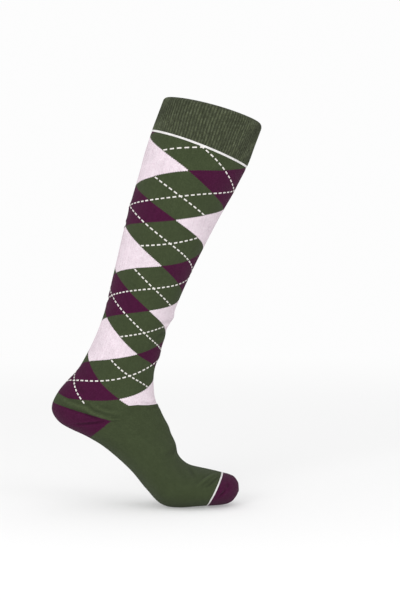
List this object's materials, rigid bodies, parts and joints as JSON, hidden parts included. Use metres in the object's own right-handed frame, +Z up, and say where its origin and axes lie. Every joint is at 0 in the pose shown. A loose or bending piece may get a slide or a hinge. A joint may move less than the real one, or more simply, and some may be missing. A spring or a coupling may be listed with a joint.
{
  "type": "argyle riding sock",
  "caption": "Knee-high knitted riding sock in its worn form, with a ribbed cuff, an argyle leg, and a heel pocket and toe cap in another colour.",
  "frame": {"origin": "centre of the leg opening at the cuff's upper edge, where the leg that fills the sock holds it up", "axes": "+Z up, +X from the heel to the toe, +Y from the near side to the far side; the sock's middle plane is XZ"},
  "size_m": [0.251, 0.0986, 0.4893],
  "materials": {
    "green_knit": "matte fine knit",
    "plum_knit": "matte fine knit",
    "white_knit": "matte fine knit",
    "argyle_knit": "matte fine knit in green, plum and pale pink lozenges with dashed white lines"
  },
  "bodies": {
    "root": {"cuff": "green_knit", "cuff_line": "white_knit", "leg": "argyle_knit", "foot": "green_knit", "heel": "plum_knit", "toe_line": "white_knit", "toe": "plum_knit"}
  },
  "joints": []
}
